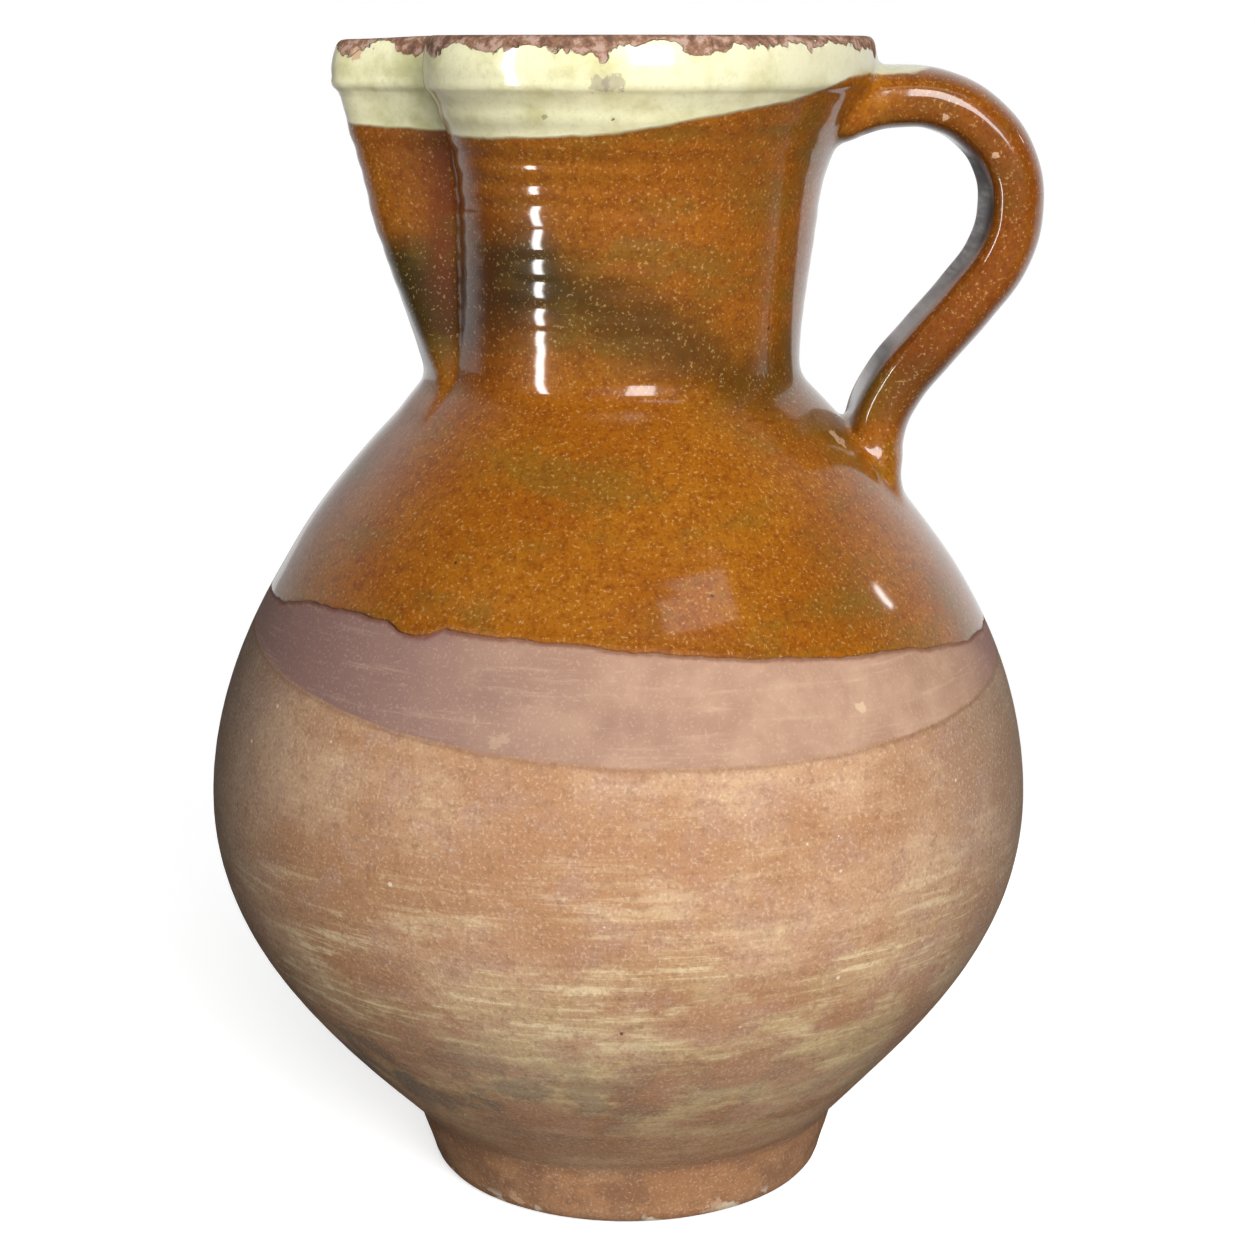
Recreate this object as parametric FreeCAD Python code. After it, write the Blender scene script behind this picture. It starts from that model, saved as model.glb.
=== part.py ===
import FreeCAD, Part
import math
import os
from FreeCAD import Vector

# Thrown earthenware pouring jug: one fired piece with a turned body, a pulled spout and a strap handle.
# The axis of the wheel is Z, the jug stands on Z = 0, the spout points to -X and the handle to +X.
# All sizes are in millimetres and all angles in degrees.

# Foot
BASE_RADIUS = 49.4
BASE_BEVEL = 2.2
CREASE_HEIGHT = 17.0
CREASE_RADIUS = 55.0
FLOOR_THICKNESS = 9.0

# Belly: a large round above the girth, a tighter one below it, straight flanks to the neck and to the foot.
# The round above is a share of the shoulder's rise, so it always leaves room for the flank to the neck.
BELLY_RADIUS = 101.0
BELLY_HEIGHT = 97.0
SHOULDER_ROUND_SHARE = 0.96
UNDERBELLY_ROUND = 72.0
BODY_WALL = 6.5

# Neck, flaring into a thick lip
NECK_ROOT_HEIGHT = 200.0
NECK_ROOT_RADIUS = 46.4
WAIST_RADIUS = 44.2
THROAT_HEIGHT = 246.0
THROAT_RADIUS = 48.6
LIP_FOOT_HEIGHT = 269.0
LIP_FOOT_RADIUS = 60.3
LIP_FLARE_ANGLE = 60.0
NECK_CORNER_ROUND = 5.0
NECK_WALL = 5.6

# Lip band round the mouth
RIM_HEIGHT = 280.0
LIP_PROUD = 0.8
LIP_LEAN = 1.6
RIM_ROUND = 1.9
TIP_DIP = 1.0

# Spout: the nose is pulled out from the neck, with a finger groove pinched in on each side
NOSE_ROOT_REACH = 47.6
NOSE_THROAT_REACH = 60.4
NOSE_TIP_REACH = 66.6
NOSE_TIP_ANGLE = 81.0
NOSE_HALF_ANGLE = 22.0
GROOVE_ANGLE = 32.0
GROOVE_HALF_ANGLE = 8.5
GROOVE_THROAT_RADIUS = 43.6
GROOVE_TIP_RADIUS = 48.2
GROOVE_TIP_ANGLE = 75.0

# Strap handle
HANDLE_WIDTH = 31.0
HANDLE_THICKNESS = 14.4
HANDLE_TOP_HEIGHT = 266.0
HANDLE_REACH = 101.4
HANDLE_BEND_HEIGHT = 240.0
HANDLE_FOOT_HEIGHT = 184.0
HANDLE_TAIL = 15.5
HANDLE_ROOT_FLARE = 4.0
HANDLE_FOOT_FLARE = 3.0
HANDLE_BACK_POWER = 2.3
HANDLE_PALM_POWER = 3.6

# The bow of the handle above its far point and the sweep below it, as shares of run and of drop
HANDLE_BOW = ((0.25, 0.0), (0.55, 0.01), (0.80, 0.23), (0.96, 0.58))
HANDLE_SWEEP = ((0.09, 0.19), (0.32, 0.38), (0.61, 0.57), (0.87, 0.75), (1.0, 0.92))

# How finely the hand-shaped surfaces are described
SPOUT_POINT_STEP = 7.5
NECK_POINT_STEP = 20.0
SPOUT_SPREAD = 60.0
NECK_RINGS = 8
RIM_STEPS = 2
STRAP_POINTS = 14
STRAP_STATIONS = 12

AXIS = Vector(0.0, 0.0, 1.0)
SEAM_ANGLE = 100.0


def turned_point(radius, height):
    """A point of the turned outline, drawn in the XZ plane."""
    return Vector(radius, 0.0, height)


def line(start, end):
    return Part.LineSegment(start, end).toShape()


def way_up(angle):
    """A unit step outwards and upwards, at an angle above the level."""
    return Vector(math.cos(math.radians(angle)), 0.0, math.sin(math.radians(angle)))


def turned(edges):
    """A solid of revolution about the axis, from outline edges that start and end on it.

    Its seam is turned to the back, clear of the spout and the handle.
    """
    solid = Part.Face(Part.Wire(edges)).revolve(Vector(), AXIS, 360.0)
    solid.rotate(Vector(), AXIS, SEAM_ANGLE)
    return solid


def touch_angle(centre, radius, point, side):
    """Where a straight line from a point touches a circle, as an angle round the circle's centre."""
    away = point - centre
    return math.atan2(away.z, away.x) + side * math.acos(radius / away.Length)


def on_circle(centre, radius, angle):
    return centre + Vector(radius * math.cos(angle), 0.0, radius * math.sin(angle))


def body_outline(wall):
    """Crease, flank, underbelly, upper round, shoulder and neck root, moved in by a wall from outside."""
    upper_round = SHOULDER_ROUND_SHARE * (NECK_ROOT_HEIGHT - BELLY_HEIGHT)
    upper_centre = turned_point(BELLY_RADIUS - upper_round, BELLY_HEIGHT)
    round_centre = turned_point(BELLY_RADIUS - UNDERBELLY_ROUND, BELLY_HEIGHT)
    crease = turned_point(CREASE_RADIUS, CREASE_HEIGHT)
    root = turned_point(NECK_ROOT_RADIUS, NECK_ROOT_HEIGHT)
    low = touch_angle(round_centre, UNDERBELLY_ROUND, crease, 1.0)
    high = touch_angle(upper_centre, upper_round, root, -1.0)
    crease = crease - on_circle(Vector(), wall, low)
    root = root - on_circle(Vector(), wall, high)
    under = UNDERBELLY_ROUND - wall
    upper = upper_round - wall
    flank_top = on_circle(round_centre, under, low)
    shoulder_foot = on_circle(upper_centre, upper, high)
    girth = turned_point(BELLY_RADIUS - wall, BELLY_HEIGHT)
    edges = [
        line(crease, flank_top),
        Part.Arc(flank_top, on_circle(round_centre, under, 0.5 * low), girth).toShape(),
        Part.Arc(girth, on_circle(upper_centre, upper, 0.5 * high), shoulder_foot).toShape(),
        line(shoulder_foot, root),
    ]
    return edges, crease, flank_top, shoulder_foot, root


def shoulder_radius(height):
    """The radius of the straight shoulder at a height."""
    _, _, _, foot, root = body_outline(0.0)
    share = (height - foot.z) / (root.z - foot.z)
    return foot.x + share * (root.x - foot.x)


def shoulder_end(foot, root):
    """The shoulder runs on inside the neck, so that the two meet in one clean line."""
    return root + (root - foot) * (0.25 * NECK_ROOT_RADIUS / (foot.x - root.x))


def turned_body():
    """Foot, belly and shoulder as one solid."""
    edges, crease, _, foot, root = body_outline(0.0)
    base = turned_point(BASE_RADIUS - BASE_BEVEL, 0.0)
    bevel_top = turned_point(BASE_RADIUS, BASE_BEVEL)
    end = shoulder_end(foot, root)
    return turned([
        line(Vector(), base),
        line(base, bevel_top),
        line(bevel_top, crease),
        *edges,
        line(root, end),
        line(end, turned_point(0.0, end.z)),
        line(turned_point(0.0, end.z), Vector()),
    ])


def turned_cavity():
    """The hollow of the body, a wall's thickness inside, with a flat floor."""
    edges, crease, flank_top, foot, root = body_outline(BODY_WALL)
    flank = flank_top - crease
    floor_edge = crease - flank * ((crease.z - FLOOR_THICKNESS) / flank.z)
    end = shoulder_end(foot, root)
    return turned([
        line(turned_point(0.0, floor_edge.z), floor_edge),
        line(floor_edge, crease),
        *edges,
        line(root, end),
        line(end, turned_point(0.0, end.z)),
        line(turned_point(0.0, end.z), turned_point(0.0, floor_edge.z)),
    ])


def spline(points, start_way, end_way):
    curve = Part.BSplineCurve()
    curve.interpolate(Points=points, InitialTangent=start_way, FinalTangent=end_way)
    return curve


NECK_START_HEIGHT = NECK_ROOT_HEIGHT - 2.0 * NECK_CORNER_ROUND
NECK_START_RADIUS = WAIST_RADIUS + 0.45 * NECK_CORNER_ROUND
NECK_FOOT_RADIUS = WAIST_RADIUS + 0.25 * NECK_CORNER_ROUND
THROAT_RISE = THROAT_HEIGHT - NECK_ROOT_HEIGHT


def neck_line():
    """The plain side of the neck: a soft foot, a slight waist, a widening throat and the flare to the lip."""
    return spline(
        [
            turned_point(NECK_START_RADIUS, NECK_START_HEIGHT),
            turned_point(NECK_FOOT_RADIUS, NECK_ROOT_HEIGHT),
            turned_point(WAIST_RADIUS, NECK_ROOT_HEIGHT + NECK_CORNER_ROUND),
            turned_point(0.5 * (WAIST_RADIUS + THROAT_RADIUS), NECK_ROOT_HEIGHT + 0.55 * THROAT_RISE),
            turned_point(THROAT_RADIUS, THROAT_HEIGHT),
            turned_point(LIP_FOOT_RADIUS, LIP_FOOT_HEIGHT),
        ],
        AXIS, way_up(LIP_FLARE_ANGLE))


def nose_line():
    """The front of the spout, which leaves the shoulder at the foot of the neck."""
    return spline(
        [
            turned_point(NECK_START_RADIUS, NECK_START_HEIGHT),
            turned_point(NOSE_ROOT_REACH, NECK_ROOT_HEIGHT + 0.05 * THROAT_RISE),
            turned_point(NOSE_THROAT_REACH, THROAT_HEIGHT),
            turned_point(NOSE_TIP_REACH, LIP_FOOT_HEIGHT),
        ],
        AXIS, way_up(NOSE_TIP_ANGLE))


def groove_line():
    """The bottom of the finger grooves, nearly straight up the neck."""
    return spline(
        [
            turned_point(NECK_START_RADIUS, NECK_START_HEIGHT),
            turned_point(NECK_FOOT_RADIUS, NECK_ROOT_HEIGHT),
            turned_point(GROOVE_THROAT_RADIUS, THROAT_HEIGHT),
            turned_point(GROOVE_TIP_RADIUS, LIP_FOOT_HEIGHT),
        ],
        AXIS, way_up(GROOVE_TIP_ANGLE))


def radius_at(curve, height):
    """The distance from the axis at a height, on a curve that climbs all the way."""
    low, high = curve.FirstParameter, curve.LastParameter
    for _ in range(40):
        middle = 0.5 * (low + high)
        if curve.value(middle).z < height:
            low = middle
        else:
            high = middle
    return curve.value(middle).x


def nose_share(angle):
    """How far the nose is pulled out at an angle from the spout: 1 at its front, 0 round the neck."""
    return math.exp(-((angle / NOSE_HALF_ANGLE) ** 4))


def mouth_radius(neck, nose, groove, angle):
    """The distance from the axis at an angle from the spout: neck circle, nose and two grooves."""
    pinch = math.exp(-0.5 * ((abs(angle) - GROOVE_ANGLE) / GROOVE_HALF_ANGLE) ** 2)
    depth = neck + (nose - neck) * nose_share(GROOVE_ANGLE) - groove
    return neck + (nose - neck) * nose_share(angle) - depth * pinch


def ring_angles():
    """Angles from the spout, close together over the spout and wide apart round the plain neck."""
    close = round(2.0 * SPOUT_SPREAD / SPOUT_POINT_STEP)
    plain = 360.0 - 2.0 * SPOUT_SPREAD
    wide = round(plain / NECK_POINT_STEP)
    over_spout = [-SPOUT_SPREAD + 2.0 * SPOUT_SPREAD * number / close for number in range(close)]
    round_neck = [SPOUT_SPREAD + plain * number / wide for number in range(wide)]
    return over_spout + round_neck


def closed_curve(points, knots):
    """A smooth closed wire through points, on knots that every section of a loft shares."""
    curve = Part.BSplineCurve()
    curve.interpolate(Points=points, PeriodicFlag=True, Parameters=knots)
    return Part.Wire([curve.toShape()])


def ring(neck, nose, groove, height, inset, dip=0.0):
    """A closed outline through the neck and spout, level unless its nose dips."""
    points = []
    angles = ring_angles()
    for angle in angles:
        from_spout = angle if angle <= 180.0 else 360.0 - angle
        radius = mouth_radius(neck, nose, groove, from_spout) - inset
        turn = math.radians(180.0 - angle)
        drop = dip * nose_share(from_spout)
        points.append(Vector(radius * math.cos(turn), radius * math.sin(turn), height - drop))
    return closed_curve(points, angles + [angles[0] + 360.0])


def neck_solid(inset):
    """The neck and spout up to the lip, lofted through level rings and moved in by a wall."""
    lines = (neck_line(), nose_line(), groove_line())
    rings = []
    for number in range(NECK_RINGS):
        height = NECK_START_HEIGHT + (LIP_FOOT_HEIGHT - NECK_START_HEIGHT) * number / (NECK_RINGS - 1)
        rings.append(ring(*(radius_at(curve, height) for curve in lines), height, inset))
    return Part.makeLoft(rings, True, False)


def lip():
    """The thick lip: a ring of narrow bands that go up its face, over its round edges and down inside."""
    face = LIP_LEAN - LIP_PROUD
    middle = 0.5 * (LIP_FOOT_HEIGHT + RIM_HEIGHT)
    turns = [0.5 * math.pi * number / RIM_STEPS for number in range(RIM_STEPS + 1)]
    edge = [
        (RIM_HEIGHT - RIM_ROUND * (1.0 - math.sin(turn)), RIM_ROUND * (1.0 - math.cos(turn)))
        for turn in turns
    ]
    outline = [(LIP_FOOT_HEIGHT, 0.3 * LIP_LEAN - LIP_PROUD), (middle, -LIP_PROUD)]
    outline += [(height, face + inset) for height, inset in edge]
    outline += [(height, NECK_WALL - inset) for height, inset in reversed(edge)]
    outline.append((LIP_FOOT_HEIGHT, NECK_WALL))
    rings = []
    for height, inset in outline:
        dip = TIP_DIP * (height - LIP_FOOT_HEIGHT) / (RIM_HEIGHT - LIP_FOOT_HEIGHT)
        rings.append(ring(LIP_FOOT_RADIUS, NOSE_TIP_REACH, GROOVE_TIP_RADIUS, height, inset, dip))
    bands = Part.makeLoft(rings, False, True, True)
    return Part.makeSolid(Part.makeShell(bands.Faces))


def mouth():
    """The open mouth within the lip, drawn half a wall wide of it so that the handle ends in the lip."""
    outline = ring(LIP_FOOT_RADIUS, NOSE_TIP_REACH, GROOVE_TIP_RADIUS, LIP_FOOT_HEIGHT, 0.5 * NECK_WALL)
    return Part.Face(outline).extrude(AXIS * (RIM_HEIGHT - LIP_FOOT_HEIGHT))


def handle_route():
    """The middle line of the strap, from inside the neck's wall to inside the shoulder's wall."""
    far = HANDLE_REACH - 0.5 * HANDLE_THICKNESS
    root = radius_at(neck_line(), HANDLE_TOP_HEIGHT - 0.5 * HANDLE_THICKNESS)
    root_depth = 0.5 * NECK_WALL
    run = far - root
    rise = HANDLE_TOP_HEIGHT - HANDLE_BEND_HEIGHT
    foot = shoulder_radius(HANDLE_FOOT_HEIGHT) + 0.22 * HANDLE_THICKNESS
    span = far - foot
    drop = HANDLE_BEND_HEIGHT - HANDLE_FOOT_HEIGHT
    tail_height = HANDLE_FOOT_HEIGHT - HANDLE_TAIL
    points = [Vector(root - root_depth, 0.0, HANDLE_TOP_HEIGHT - 0.2 * HANDLE_THICKNESS)]
    for along, down in HANDLE_BOW:
        points.append(Vector(root + along * run, 0.0, HANDLE_TOP_HEIGHT - down * rise))
    points.append(Vector(far, 0.0, HANDLE_BEND_HEIGHT))
    for along, down in HANDLE_SWEEP:
        points.append(Vector(far - along * span, 0.0, HANDLE_BEND_HEIGHT - down * drop))
    points.append(Vector(foot, 0.0, HANDLE_FOOT_HEIGHT - 0.35 * HANDLE_TAIL))
    points.append(Vector(shoulder_radius(tail_height) - 0.35 * HANDLE_THICKNESS, 0.0, tail_height))
    curve = Part.BSplineCurve()
    curve.interpolate(Points=points)
    return curve


def strap_outline(place, way, half_width, half_thickness):
    """A strap's outline square to its route: well rounded on the back, flatter on the palm side."""
    outwards = Vector(-way.z, 0.0, way.x)
    points = []
    for number in range(STRAP_POINTS):
        angle = 2.0 * math.pi * (number + 0.5) / STRAP_POINTS
        across, up = math.cos(angle), math.sin(angle)
        power = 2.0 / (HANDLE_BACK_POWER if up >= 0.0 else HANDLE_PALM_POWER)
        side = half_width * math.copysign(abs(across) ** power, across)
        out = half_thickness * math.copysign(abs(up) ** power, up)
        points.append(place + outwards * out + Vector(0.0, side, 0.0))
    return closed_curve(points, list(range(STRAP_POINTS + 1)))


def handle():
    """The pulled strap, wider where it was pressed on at the neck and at the shoulder."""
    route = handle_route()
    first, last = route.FirstParameter, route.LastParameter
    outlines = []
    for number in range(STRAP_STATIONS):
        share = number / (STRAP_STATIONS - 1)
        parameter = first + share * (last - first)
        root = HANDLE_ROOT_FLARE * max(0.0, 1.0 - 5.0 * share) ** 2
        foot = HANDLE_FOOT_FLARE * max(0.0, 5.0 * share - 4.0) ** 2
        outlines.append(strap_outline(
            route.value(parameter), route.tangent(parameter)[0],
            0.5 * HANDLE_WIDTH + root + foot, 0.5 * HANDLE_THICKNESS))
    return Part.makeLoft(outlines, True, False)


def jug():
    """The whole pot: walls and handle joined, the hollow cut out, and the lip set on the neck."""
    outside = turned_body().fuse(neck_solid(0.0)).fuse(handle().cut(mouth()))
    inside = turned_cavity().fuse(neck_solid(NECK_WALL))
    return outside.cut(inside).fuse(lip())


if __name__ == "__main__":
    os.makedirs("parts", exist_ok=True)
    jug().exportStep("parts/jug.step")
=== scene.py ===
"""Looks of a hand-thrown glazed pottery jug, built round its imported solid.

The jug stands on Z = 0 with the axis of the wheel on Z, its spout towards -X and its handle towards +X.
Shapes are written in millimetres and turned to metres where a mesh is made.
"""

import logging
import math
from dataclasses import dataclass, field
from enum import Enum
from typing import NamedTuple, Union

import bpy
import numpy as np
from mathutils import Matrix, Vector
from mathutils.kdtree import KDTree


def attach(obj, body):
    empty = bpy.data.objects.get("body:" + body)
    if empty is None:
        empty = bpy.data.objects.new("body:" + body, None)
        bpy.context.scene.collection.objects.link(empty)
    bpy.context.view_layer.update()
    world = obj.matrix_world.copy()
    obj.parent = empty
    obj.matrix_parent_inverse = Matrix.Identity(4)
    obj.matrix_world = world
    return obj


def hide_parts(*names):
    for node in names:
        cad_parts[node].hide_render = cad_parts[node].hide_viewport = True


MM = 0.001

log = logging.getLogger("jug")

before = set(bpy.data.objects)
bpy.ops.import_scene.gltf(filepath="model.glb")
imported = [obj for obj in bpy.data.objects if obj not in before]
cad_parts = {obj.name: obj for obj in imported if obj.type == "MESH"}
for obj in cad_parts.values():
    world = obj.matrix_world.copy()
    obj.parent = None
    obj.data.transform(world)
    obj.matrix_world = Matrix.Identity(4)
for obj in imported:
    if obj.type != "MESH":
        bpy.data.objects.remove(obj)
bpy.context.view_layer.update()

Colour = tuple[float, float, float]
Point = tuple[float, float]
Amount = Union[float, "Term"]


class Term:
    """One output of a node. Arithmetic on it adds Math nodes to the same tree."""

    def __init__(self, graph: "Graph", socket: bpy.types.NodeSocket) -> None:
        """Wraps a socket of the graph's tree."""
        self.graph = graph
        self.socket = socket

    def other(self, name: str) -> "Term":
        """Another output of the same node."""
        return Term(self.graph, Graph.find(self.socket.node.outputs, name))

    def math(self, operation: str, *others: Amount) -> "Term":
        """Adds a Math node with this term as its first value."""
        return self.graph.math(operation, self, *others)

    def __add__(self, other: Amount) -> "Term":
        """Sum."""
        return self.math("ADD", other)

    __radd__ = __add__

    def __sub__(self, other: Amount) -> "Term":
        """Difference."""
        return self.math("SUBTRACT", other)

    def __rsub__(self, other: Amount) -> "Term":
        """Difference from a number."""
        return self.graph.math("SUBTRACT", other, self)

    def __mul__(self, other: Amount) -> "Term":
        """Product."""
        return self.math("MULTIPLY", other)

    __rmul__ = __mul__

    def __truediv__(self, other: Amount) -> "Term":
        """Quotient."""
        return self.math("DIVIDE", other)

    def __neg__(self) -> "Term":
        """The opposite value."""
        return self.math("MULTIPLY", -1.0)

    def __abs__(self) -> "Term":
        """The value without its sign."""
        return self.math("ABSOLUTE")

    def __pow__(self, power: Amount) -> "Term":
        """A power of the value."""
        return self.math("POWER", power)

    def bell(self, centre: Amount, half_width: Amount) -> "Term":
        """A smooth hump: 1 at the centre, 0.37 at the half width."""
        away = (self - centre) / half_width
        return (-(away * away)).math("EXPONENT")

    def ease(self, start: float, end: float) -> "Term":
        """Rises smoothly from 0 at start to 1 at end, and start may be the larger."""
        return self.graph.node(
            "ShaderNodeMapRange",
            {"interpolation_type": "SMOOTHSTEP"},
            {"Value": self, "From Min": start, "From Max": end},
        )


class Graph:
    """Adds nodes to one node tree, of a material, the world or a geometry modifier."""

    def __init__(self, tree: bpy.types.NodeTree) -> None:
        """Starts with the nodes that the tree already has."""
        self.tree = tree

    def node(
        self,
        kind: str,
        settings: dict[str, object] | None = None,
        inputs: dict[object, object] | None = None,
        output: object = 0,
    ) -> Term:
        """Adds a node, sets it, then feeds it.

        Args:
            kind: the node's type.
            settings: the node's own properties, set before its sockets.
            inputs: values or terms, by socket name, identifier or number.
            output: the name, identifier or number of the output that is wanted.

        Returns:
            The wanted output.
        """
        made = self.tree.nodes.new(kind)
        for name, value in (settings or {}).items():
            setattr(made, name, value)
        for name, value in (inputs or {}).items():
            self.feed(self.find(made.inputs, name), value)
        return Term(self, self.find(made.outputs, output))

    def end(self, kind: str, result: Term) -> None:
        """Adds the node that the tree ends in."""
        self.tree.links.new(result.socket, self.tree.nodes.new(kind).inputs[0])

    @staticmethod
    def find(sockets: bpy.types.bpy_prop_collection, name: object) -> bpy.types.NodeSocket:
        """The socket with that number, identifier or name, the shown ones first."""
        if isinstance(name, int):
            return sockets[name]
        known = [s for s in sockets if s.identifier == name] or [s for s in sockets if s.name == name]
        return next((s for s in known if s.enabled), known[0])

    def feed(self, socket: bpy.types.NodeSocket, value: object) -> None:
        """Links a term to an input, or writes a plain value into it."""
        if isinstance(value, Term):
            self.tree.links.new(value.socket, socket)
        elif isinstance(value, tuple) and len(value) == 3 and len(getattr(socket, "default_value", ())) == 4:
            socket.default_value = (*value, 1.0)
        else:
            socket.default_value = value

    def math(self, operation: str, *values: Amount) -> Term:
        """Adds a Math node."""
        return self.node("ShaderNodeMath", {"operation": operation}, dict(enumerate(values)))

    def vector(self, operation: str, *values: object) -> Term:
        """Adds a Vector Math node."""
        return self.node("ShaderNodeVectorMath", {"operation": operation}, dict(enumerate(values)))

    def scaled(self, vector: Term, factor: float) -> Term:
        """A vector times a number."""
        return self.node("ShaderNodeVectorMath", {"operation": "SCALE"}, {"Vector": vector, "Scale": factor})

    def blend(self, factor: Amount, first: object, second: object) -> Term:
        """Mixes two colours: the first at 0, the second at 1."""
        return self.node(
            "ShaderNodeMix",
            {"data_type": "RGBA", "clamp_factor": True},
            {"Factor_Float": factor, "A_Color": first, "B_Color": second},
            "Result_Color",
        )

    def mix(self, factor: Amount, first: Amount, second: Amount) -> Term:
        """Mixes two numbers: the first at 0, the second at 1."""
        return self.node(
            "ShaderNodeMix",
            {"data_type": "FLOAT", "clamp_factor": True},
            {"Factor_Float": factor, "A_Float": first, "B_Float": second},
            "Result_Float",
        )

    def part(self, vector: Term, axis: str) -> Term:
        """The X, Y or Z of a vector."""
        return self.node("ShaderNodeSeparateXYZ", None, {0: vector}, axis)

    def point(self, x: Amount, y: Amount, z: Amount) -> Term:
        """A vector from its three parts."""
        return self.node("ShaderNodeCombineXYZ", None, {"X": x, "Y": y, "Z": z})

    def noise(self, vector: Term, size: float, detail: float, rough: float = 0.5) -> Term:
        """Cloudy noise around 0.5, with features of a size in the vector's own unit."""
        inputs = {"Vector": vector, "Scale": 1.0 / size, "Detail": detail, "Roughness": rough}
        return self.node("ShaderNodeTexNoise", None, inputs, "Fac")

    def grains(self, vector: Term, spacing: float, radius: float, share: float) -> Term:
        """Scattered dots: a mask of round grains of up to a radius, in a share of the cells of a spacing."""
        inputs = {"Vector": vector, "Scale": 1.0 / spacing}
        away = self.node("ShaderNodeTexVoronoi", {"feature": "F1"}, inputs, "Distance")
        luck = self.node("ShaderNodeSeparateColor", None, {0: away.other("Color")}, 0)
        chosen = (luck - (1.0 - share)) / share
        reach = chosen.math("MAXIMUM", 0.0) * (radius / spacing)
        return ((reach - away) * (2.5 * spacing / radius)).math("MINIMUM", 1.0).math("MAXIMUM", 0.0)

    def curve(self, value: Term, points: tuple[Point, ...]) -> Term:
        """A smooth function of a value through given points, level beyond the ends."""
        low, high = points[0][0], points[-1][0]
        bottom = min(y for _, y in points)
        top = max(y for _, y in points)
        made = self.tree.nodes.new("ShaderNodeFloatCurve")
        line = made.mapping.curves[0]
        scaled = [((x - low) / (high - low), (y - bottom) / (top - bottom)) for x, y in points]
        line.points[0].location = scaled[0]
        line.points[1].location = scaled[-1]
        for x, y in scaled[1:-1]:
            line.points.new(x, y)
        made.mapping.update()
        self.feed(made.inputs["Value"], (value - low) / (high - low))
        return Term(self, made.outputs[0]) * (top - bottom) + bottom


class Place:
    """Where a point of the surface is, in millimetres and in degrees round the axis."""

    def __init__(self, graph: Graph, metres: Term) -> None:
        """Splits a position in metres.

        Args:
            graph: the tree that the position belongs to.
            metres: the position, in the jug's own frame.
        """
        self.graph = graph
        self.spot = graph.scaled(metres, 1.0 / MM)
        self.x = graph.part(self.spot, "X")
        self.y = self.x.other("Y")
        self.z = self.x.other("Z")
        self.turn = graph.math("ARCTAN2", self.x, -self.y) * math.degrees(1.0)

    def stretched(self, across: float, up: float) -> Term:
        """The place squeezed across and up, for a pattern that runs round the pot."""
        return self.graph.vector("MULTIPLY", self.spot, (across, across, up))

    def near(self, x: float, y: float, z: float) -> Term:
        """The distance to a point."""
        ends = {0: self.spot, 1: (x, y, z)}
        return self.graph.node("ShaderNodeVectorMath", {"operation": "DISTANCE"}, ends, "Value")


class Look(NamedTuple):
    """A finish at each point: colour, roughness, share of clear glaze, and height in millimetres."""

    colour: object
    roughness: Amount
    gloss: Amount
    height: Amount


def layered(graph: Graph, mask: Term, under: Look, over: Look) -> Look:
    """One finish over another where the mask is 1."""
    return Look(
        graph.blend(mask, under.colour, over.colour),
        graph.mix(mask, under.roughness, over.roughness),
        graph.mix(mask, under.gloss, over.gloss),
        graph.mix(mask, under.height, over.height),
    )


@dataclass(frozen=True)
class Patterns:
    """Noise that the finishes share, each worked out once, and two sizes of grain."""

    clouds: Term
    patches: Term
    mottle: Term
    bands: Term
    wipes: Term
    pores: Term
    grit: Term
    specks: Term

    @classmethod
    def of(cls, graph: Graph, place: Place) -> "Patterns":
        """Adds the nodes."""
        elsewhere = graph.vector("ADD", place.spot, (7.0, 3.0, 5.0))
        return cls(
            clouds=graph.noise(place.stretched(across=0.8, up=1.2), size=32.0, detail=3.0, rough=0.6),
            patches=graph.noise(place.spot, size=11.0, detail=3.0, rough=0.6),
            mottle=graph.noise(place.spot, size=2.4, detail=3.0, rough=0.65),
            bands=graph.noise(place.stretched(across=0.45, up=1.0), size=12.0, detail=4.0, rough=0.65),
            wipes=graph.noise(place.stretched(across=0.07, up=1.0), size=2.0, detail=4.0, rough=0.68),
            pores=graph.noise(place.spot, size=0.75, detail=1.0, rough=0.6),
            grit=graph.grains(place.spot, spacing=2.3, radius=0.27, share=0.40),
            specks=graph.grains(elsewhere, spacing=7.0, radius=0.70, share=0.35),
        )

    def relief(self, heights: tuple[tuple[str, float], ...]) -> Term:
        """Some patterns added up as a height, each times its own millimetres."""
        return sum(getattr(self, name) * height for name, height in heights)


@dataclass(frozen=True)
class Stain:
    """A tint over a finish: none where a pattern is at one level, its full share at another."""

    tint: Colour
    start: float
    full: float
    share: float = 1.0

    def on(self, colour: object, pattern: Term, where: Amount = 1.0) -> Term:
        """The colour with the stain on it, as far as a second mask lets it."""
        strength = pattern.ease(self.start, self.full) * (where * self.share)
        return pattern.graph.blend(strength, colour, self.tint)


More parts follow.
